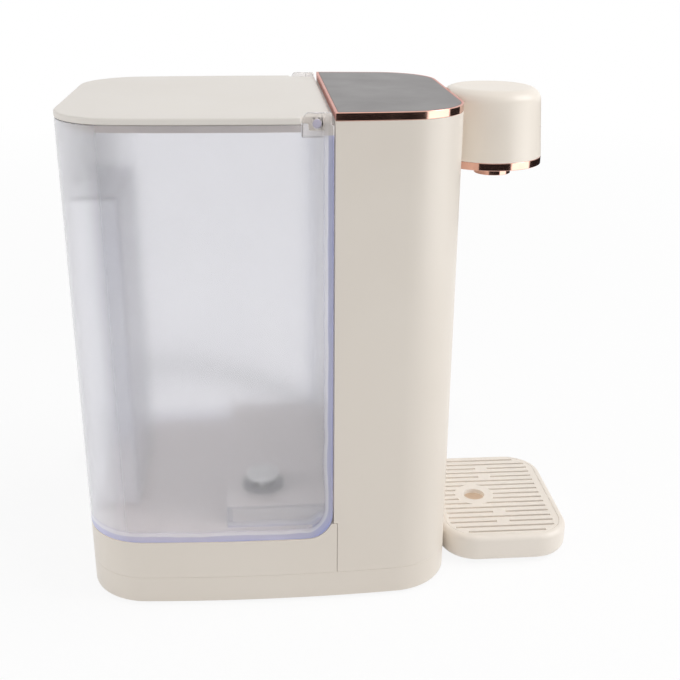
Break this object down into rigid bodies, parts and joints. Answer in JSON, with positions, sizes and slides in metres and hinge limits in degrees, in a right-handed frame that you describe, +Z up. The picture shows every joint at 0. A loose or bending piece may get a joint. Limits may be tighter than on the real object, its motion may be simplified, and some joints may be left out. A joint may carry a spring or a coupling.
{
  "type": "instant hot water dispenser",
  "caption": "Countertop instant hot water dispenser: frosted lift-off water tank with hinged lid, upright column with touch panel, round outlet head, and a slotted drip tray.",
  "frame": {"origin": "middle of the footprint of tank, column and drip tray on the table, without the mains lead", "axes": "+Z up, front with the outlet head and drip tray faces -Y, +X to the right of a user at the front"},
  "size_m": [0.3604, 0.3179, 0.2838],
  "materials": {
    "cream_plastic": "satin moulded plastic",
    "copper_trim": "copper-coloured plating",
    "panel_gloss": "gloss, smoked",
    "frosted_tank": "frosted clear plastic",
    "dark_rubber": "matte rubber",
    "dark_plastic": "matte moulded plastic",
    "white_plastic": "matte moulded plastic",
    "silicone": "translucent silicone",
    "steel": "brushed",
    "board_green": "laminate with lacquer",
    "cord_rubber": "matte cable sheath",
    "plug_metal": "plated"
  },
  "bodies": {
    "housing": {"bottom_pan": "cream_plastic", "base_cradle": "cream_plastic", "column_shell": "cream_plastic", "column_back": "cream_plastic", "head_shell": "cream_plastic", "head_floor": "cream_plastic", "panel_trim": "copper_trim", "head_trim": "copper_trim", "nozzle": "copper_trim", "control_panel": "panel_gloss", "rubber_feet": "dark_rubber", "dock_seal": "dark_rubber", "pump_saddle": "dark_rubber", "nozzle_insert": "dark_rubber", "heater_caps": "dark_plastic", "thermal_cutouts": "dark_plastic", "board_parts": "dark_plastic", "cord_tie": "dark_plastic", "panel_carrier": "white_plastic", "steam_separator": "white_plastic", "dock_socket": "white_plastic", "pump_body": "white_plastic", "pump_cover": "white_plastic", "board_standoffs": "white_plastic", "inlet_hose": "silicone", "feed_hose": "silicone", "outlet_hose": "silicone", "touch_pillars": "silicone", "pump_motor": "steel", "heater_tube": "steel", "heater_clamps": "steel", "temperature_sensor": "steel", "case_screws": "steel", "power_board": "board_green", "touch_board": "board_green", "strain_relief": "cord_rubber", "power_cord": "cord_rubber", "cord_coil": "cord_rubber", "plug_body": "cord_rubber", "plug_pins": "plug_metal"},
    "tank": {"tank": "frosted_tank", "valve_body": "dark_plastic", "valve_spring": "steel"},
    "valve": {"valve_plunger": "white_plastic", "valve_seal": "dark_rubber"},
    "lid": {"tank_lid": "cream_plastic", "lid_gasket": "silicone", "lid_hinge_pins": "cream_plastic"},
    "tray": {"drip_tray": "cream_plastic", "tray_feet": "dark_rubber"},
    "grate": {"drip_grate": "cream_plastic"},
    "impeller": {"pump_impeller": "dark_plastic"}
  },
  "joints": [
    {"name": "tank_lift", "type": "slide", "parent": "housing", "child": "tank", "axis": [0, 0, 1], "range_m": [0, 0.26]},
    {"name": "valve_slide", "type": "slide", "parent": "tank", "child": "valve", "axis": [0, 0, 1], "range_m": [-0.004, 0], "deforming": ["valve_spring"]},
    {"name": "lid_hinge", "type": "hinge", "parent": "tank", "child": "lid", "pos_m": [0, 0.0137, 0.2767], "axis": [1, 0, 0], "range_deg": [0, 105]},
    {"name": "tray_slide", "type": "slide", "parent": "housing", "child": "tray", "axis": [0, -1, 0], "range_m": [0, 0.12]},
    {"name": "grate_lift", "type": "slide", "parent": "tray", "child": "grate", "axis": [0, 0, 1], "range_m": [0, 0.06]},
    {"name": "impeller_spin", "type": "hinge", "parent": "housing", "child": "impeller", "pos_m": [0.006, -0.0304, 0.0364], "axis": [1, 0, 0], "continuous": true}
  ],
  "couplings": [
    {"joint": "valve_slide", "follows": "tank_lift", "ratio": -0.015384}
  ]
}
